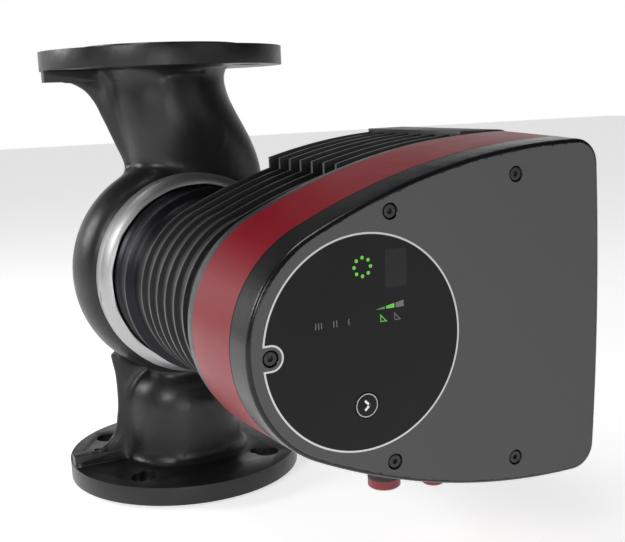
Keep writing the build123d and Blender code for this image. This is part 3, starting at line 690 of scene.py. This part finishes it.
@dataclass
class Band:
    """Red band that closes the control box round its sides."""

    inset: float = 0.15 * MM
    steps: int = 5

    def build(self) -> None:
        """Build the band with an evenly curved wall."""
        low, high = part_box("red_band")
        first, last = wall_rings("red_band", [high[1] - self.inset, low[1] + self.inset])
        rings = [[a.lerp(b, step / self.steps) for a, b in zip(first, last)]
                 for step in range(self.steps + 1)]
        mesh = node_mesh("red_band")
        renew_wall(mesh, rings)
        piece = finish_piece("box_band", mesh, RED_SATIN, Body.HEAD)
        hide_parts("red_band")


@dataclass
class Cover:
    """Front cover: a textured charcoal face with a black edge that is rounded at the front."""

    edge_depth: float = 0.12 * MM
    bend_steps: int = 7
    bend: float = 3.05 * MM
    bend_turn: float = 88.0
    back_inset: float = 0.15 * MM
    flat_angle: float = 0.05
    framed_area: float = 0.001
    frame_width: float = 0.25 * MM

    def rows(self) -> list[float]:
        """Places of the rings of the side wall, closer together round the bend.

        Returns:
            Y of each ring, from the back to the front.
        """
        low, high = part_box("front_cover")
        plain = [high[1] - self.back_inset, (high[1] + low[1] + self.bend) / 2]
        turns = [math.radians(self.bend_turn * step / self.bend_steps)
                 for step in range(self.bend_steps + 1)]
        return plain + [low[1] + self.bend * (1 - math.sin(turn)) for turn in turns]

    def build(self) -> None:
        """Build the cover with two finishes, split where the face turns into the edge."""
        mesh = node_mesh("front_cover")
        renew_wall(mesh, wall_rings("front_cover", self.rows()))
        whole_faces(mesh, self.flat_angle)
        steady_faces(mesh, self.framed_area, self.frame_width)
        piece = finish_piece("cover_shell", mesh, COVER_GREY, Body.HEAD)
        piece.data.materials.append(COVER_EDGE.build())
        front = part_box("front_cover")[0][1]
        for polygon in piece.data.polygons:
            if polygon.center.y > front + self.edge_depth:
                polygon.material_index = 1
        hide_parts("front_cover")


@dataclass
class Display:
    """Marks on the round display, all generic, in millimetres from the motor's axis."""

    thickness: float = 0.06
    sink: float = 0.01
    lamp_ring: tuple[float, float] = (-0.6, 41.0)
    lamp_count: int = 8
    lamp_radius: float = 4.9
    lamp_size: float = 1.0
    disc_sides: int = 32
    bar_start: tuple[float, float] = (9.8, 17.2)
    bar_width: float = 5.0
    bar_pitch: float = 5.8
    bar_height: float = 1.3
    bar_rise: float = 1.1
    bar_slope: float = 1.0
    mark_groups: tuple[tuple[int, float], ...] = ((3, -27.0), (2, -17.4), (1, -9.4))
    mark_size: tuple[float, float] = (0.55, 3.4)
    mark_pitch: float = 1.7
    mark_row: float = 13.0
    symbol_start: float = 11.5
    symbol_pitch: float = 8.5
    symbol_base: float = 10.6
    symbol_size: float = 4.0
    symbol_stroke: float = 0.45
    symbol_slope: float = 4.6
    window_size: tuple[float, float] = (13.0, 20.5)
    window_place: tuple[float, float] = (19.5, 38.5)

    def build(self) -> None:
        """Build every mark on the display."""
        self.lamps()
        self.bars()
        self.speed_marks()
        self.symbols()
        self.window()

    def slab(self, name: str, mesh: bmesh.types.BMesh, finish: Finish, x: float, z: float,
             turn: float = 0.0, body: Body = Body.HEAD, node: str = "display_panel",
             slot: str = "display_black") -> bpy.types.Object:
        """Thicken a flat shape, in millimetres, and lay it on a front face.

        Args:
            name: name of the piece.
            mesh: flat shape in its own plane.
            finish: its material.
            x: place to the right of the motor's axis, in millimetres.
            z: place above the motor's axis, in millimetres.
            turn: turn in the plane of the panel, in degrees.
            body: the body it rides on.
            node: the CAD node whose front face it lies on.
            slot: the record's material slot; not used.

        Returns:
            The new piece.
        """
        faces = bmesh.ops.extrude_face_region(mesh, geom=mesh.faces[:])["geom"]
        raised = [v for v in faces if isinstance(v, bmesh.types.BMVert)]
        bmesh.ops.translate(mesh, verts=raised, vec=(0, 0, self.thickness))
        bmesh.ops.recalc_face_normals(mesh, faces=mesh.faces)
        bmesh.ops.scale(mesh, verts=mesh.verts, vec=(MM, MM, MM))
        place = front_place(x, z, Panel.front(node) - self.sink, turn)
        bmesh.ops.transform(mesh, matrix=place, verts=mesh.verts)
        return finish_piece(name, mesh, finish, body)

    @staticmethod
    def rectangle(width: float, height: float) -> bmesh.types.BMesh:
        """Flat rectangle about the origin.

        Args:
            width: size along X.
            height: size along Y.

        Returns:
            The rectangle, one face.
        """
        mesh = bmesh.new()
        bmesh.ops.create_grid(mesh, x_segments=1, y_segments=1, size=0.5)
        bmesh.ops.scale(mesh, verts=mesh.verts, vec=(width, height, 1))
        return mesh

    @staticmethod
    def disc(radius: float) -> bmesh.types.BMesh:
        """Flat disc about the origin.

        Args:
            radius: radius of the disc.

        Returns:
            The disc, one face.
        """
        mesh = bmesh.new()
        bmesh.ops.create_circle(mesh, cap_ends=True, radius=radius, segments=Display.disc_sides)
        return mesh

    def lamps(self) -> None:
        """Ring of round green lamps."""
        for number in range(self.lamp_count):
            angle = 2 * math.pi * number / self.lamp_count
            x = self.lamp_ring[0] + self.lamp_radius * math.cos(angle)
            z = self.lamp_ring[1] + self.lamp_radius * math.sin(angle)
            self.slab(f"lamp_{number}", self.disc(self.lamp_size), GREEN_LIT, x, z)

    def bars(self) -> None:
        """Three rising bars with sloping tops."""
        left, base = self.bar_start
        for number, finish in enumerate((GREEN_DIM, GREEN_LIT, GREY_MARK)):
            height = self.bar_height + self.bar_rise * number
            bar = self.rectangle(self.bar_width, height)
            for vert in bar.verts:
                if vert.co.x < 0 < vert.co.y:
                    vert.co.y -= self.bar_slope
            self.slab(f"level_bar_{number}", bar, finish, left + self.bar_pitch * number,
                      base + height / 2)

    def speed_marks(self) -> None:
        """Groups of three, two and one upright strokes."""
        for count, x in self.mark_groups:
            for number in range(count):
                offset = (number - (count - 1) / 2) * self.mark_pitch
                self.slab(f"speed_{count}_{number}", self.rectangle(*self.mark_size),
                          GREY_MARK, x + offset, self.mark_row)

    def symbols(self) -> None:
        """Two small plain triangles under the bars."""
        size, stroke = self.symbol_size, self.symbol_stroke
        for number, finish in enumerate((GREEN_LIT, GREY_MARK)):
            x = self.symbol_start + self.symbol_pitch * number
            for side, shape, dx, dz, turn in (
                ("base", (size, stroke), 0, 0, 0),
                ("side", (stroke, size), -1.8, 2.0, 0),
                ("slope", (self.symbol_slope, stroke), -0.2, 1.8, -45),
            ):
                self.slab(f"symbol_{side}_{number}", self.rectangle(*shape), finish, x + dx,
                          self.symbol_base + dz, turn)

    def window(self) -> None:
        """Dim window beside the lamps."""
        self.slab("signal_window", self.rectangle(*self.window_size), WINDOW_GREY,
                  *self.window_place)


@dataclass
class Button:
    """Round push button with a ring and an arrowhead, in millimetres."""

    ring_radius: float = 6.55
    ring_width: float = 0.55
    head_drop: float = 0.1
    head_depth: float = 1.5
    stroke: tuple[float, float] = (4.4, 1.25)
    stroke_place: tuple[float, float] = (0.3, 1.15)
    stroke_turn: float = 45.0
    mark_thickness: float = 0.05
    mark_lift: float = 0.02

    def build(self) -> None:
        """Build the button's cap, ring and arrowhead."""
        low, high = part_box("operating_button")
        mesh = node_mesh("operating_button")
        whole_faces(mesh)
        front = [v for v in mesh.verts if v.co.y < low[1] + self.head_depth * MM]
        bmesh.ops.translate(mesh, verts=front, vec=(0, self.head_drop * MM, 0))
        cap = finish_piece("button_cap", mesh, DISPLAY_GLOSS, Body.BUTTON)
        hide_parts("operating_button")
        x = (low[0] + high[0]) / 2 / MM
        z = ((low[2] + high[2]) / 2 - Panel.axis_height()) / MM
        thin = Display(thickness=self.mark_thickness)
        dx, dz = self.stroke_place
        for name, shape, finish, right, above, turn in (
            ("button_ring", self.ring(), PALE_MARK, 0, 0, 0),
            ("arrow_upper", Display.rectangle(*self.stroke), WHITE_MARK, dx, dz, -self.stroke_turn),
            ("arrow_lower", Display.rectangle(*self.stroke), WHITE_MARK, dx, -dz, self.stroke_turn),
        ):
            piece = thin.slab(name, shape, finish, x + right, z + above, turn, Body.BUTTON,
                              "operating_button", "button_black")
            back = (self.head_drop - self.mark_lift) * MM
            piece.data.transform(Matrix.Translation((0, back, 0)))

    def ring(self) -> bmesh.types.BMesh:
        """Flat ring about the origin.

        Returns:
            The ring, with its middle open.
        """
        ring = Display.disc(self.ring_radius)
        rim = bmesh.ops.inset_region(ring, faces=ring.faces[:], thickness=self.ring_width,
                                     use_boundary=True)
        inner = [f for f in ring.faces if f not in rim["faces"]]
        bmesh.ops.delete(ring, geom=inner, context="FACES")
        return ring


@dataclass
class Studio:
    """Pale floor, soft lights and the camera."""

    camera_place: tuple[float, float, float] = (-0.2461, -0.7549, 0.3012)
    yaw: float = 26.08
    pitch: float = -10.24
    roll: float = -2.07
    lens: float = 57.2
    near_clip: float = 0.01
    floor_reach: float = 6.0
    target: tuple[float, float, float] = (0, -0.12, 0.17)
    behind_range: tuple[float, float] = (-0.2, 0.7)
    behind_strength: tuple[float, float] = (0.05, 1.0)
    height_range: tuple[float, float] = (0.15, 0.4)
    height_strength: tuple[float, float] = (1.0, 0.12)
    lights: list[tuple] = field(default_factory=lambda: [
        ("key", (-1.1, -0.9, 0.75), 7.0, 0.4),
        ("low", (-0.55, -1.7, 0.25), 4.0, 0.5),
        ("top", (-0.3, 0.0, 1.4), 6.0, 0.5),
        ("front", (0.9, -1.9, 0.9), 3.0, 1.0),
        ("rim", (-1.1, 0.6, 0.7), 6.0, 0.4),
    ])

    def build(self) -> None:
        """Build the floor, the lights and the camera."""
        self.floor()
        self.light()
        self.camera()

    def floor(self) -> None:
        """Large pale floor that the pump stands on."""
        mesh = bmesh.new()
        bmesh.ops.create_grid(mesh, x_segments=1, y_segments=1, size=self.floor_reach)
        data = bpy.data.meshes.new("floor")
        mesh.to_mesh(data)
        mesh.free()
        data.materials.append(FLOOR_WHITE.build())
        floor = bpy.data.objects.new("floor", data)
        bpy.context.scene.collection.objects.link(floor)

    def light(self) -> None:
        """White surroundings and large area lights that point at the pump."""
        scene = bpy.context.scene
        scene.world = self.surroundings()
        scene.view_settings.view_transform = "Standard"
        target = Vector(self.target)
        for name, place, power, size in self.lights:
            data = bpy.data.lights.new(name, "AREA")
            data.energy = power
            data.size = size
            lamp = bpy.data.objects.new(name, data)
            lamp.location = place
            aim = target - Vector(place)
            lamp.rotation_euler = aim.to_track_quat("-Z", "Y").to_euler()
            scene.collection.objects.link(lamp)

    def surroundings(self) -> bpy.types.World:
        """White world that is brightest low down behind the pump.

        Returns:
            The world.
        """
        world = bpy.data.worlds.new("studio")
        world.use_nodes = True
        nodes, links = world.node_tree.nodes, world.node_tree.links
        background = nodes["Background"]
        background.inputs["Color"].default_value = (1, 1, 1, 1)
        split = nodes.new("ShaderNodeSeparateXYZ")
        links.new(nodes.new("ShaderNodeTexCoord").outputs["Generated"], split.inputs["Vector"])
        product = nodes.new("ShaderNodeMath")
        product.operation = "MULTIPLY"
        for number, (axis, span, strength) in enumerate((
            ("Y", self.behind_range, self.behind_strength),
            ("Z", self.height_range, self.height_strength),
        )):
            share = map_range(nodes, links, split.outputs[axis], span, strength)
            links.new(share, product.inputs[number])
        links.new(product.outputs["Value"], background.inputs["Strength"])
        return world

    def camera(self) -> None:
        """Camera at the object's three-quarter view."""
        yaw, pitch, roll = (math.radians(v) for v in (self.yaw, self.pitch, self.roll))
        level = Vector((math.sin(yaw), math.cos(yaw), 0))
        forward = math.cos(pitch) * level + math.sin(pitch) * Vector((0, 0, 1))
        right = Vector((math.cos(yaw), -math.sin(yaw), 0))
        up = right.cross(forward)
        rolled_right = math.cos(roll) * right + math.sin(roll) * up
        rolled_up = -math.sin(roll) * right + math.cos(roll) * up
        turn = Matrix((rolled_right, rolled_up, -forward)).transposed().to_4x4()
        data = bpy.data.cameras.new("camera")
        data.lens = self.lens
        data.clip_start = self.near_clip
        camera = bpy.data.objects.new("camera", data)
        camera.matrix_world = Matrix.Translation(Vector(self.camera_place)) @ turn
        bpy.context.scene.collection.objects.link(camera)
        bpy.context.scene.camera = camera


def dress_nodes() -> None:
    """Give every CAD node that stays in view its own finish."""
    for node, finish in NODE_FINISHES.items():
        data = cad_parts[node].data
        data.materials.clear()
        data.materials.append(finish.build())
        log.info("%s: dressed in %s", node, finish.name)


def main() -> None:
    """Build the pump's looks, piece by piece."""
    logging.basicConfig(level=logging.INFO, format="%(name)s: %(message)s")
    Studio().build()
    dress_nodes()
    Casting().build()
    for shell in (
        RefinedShell("clamp_ring", "clamp_band", CLAMP_STEEL, "clamp_steel", Body.HOUSING,
                     edge=0.5 * MM),
        RefinedShell("stator_housing", "motor_drum", MOTOR_BLACK, "motor_black", Body.HEAD,
                     edge=0.8 * MM, angle=25.0, segments=3),
        RefinedShell("heat_sink", "cooling_fins", FIN_BLACK_RIM_HIGHLIT, "motor_black", Body.HEAD,
                     edge=0.7 * MM, segments=3),
        RefinedShell("cover_screws", "cap_screws", SCREW_BLACK, "screw_black", Body.HEAD,
                     edge=0.25 * MM),
    ):
        shell.build()
    Band().build()
    Cover().build()
    Display().build()
    Button().build()


if __name__ == "__main__":
    main()
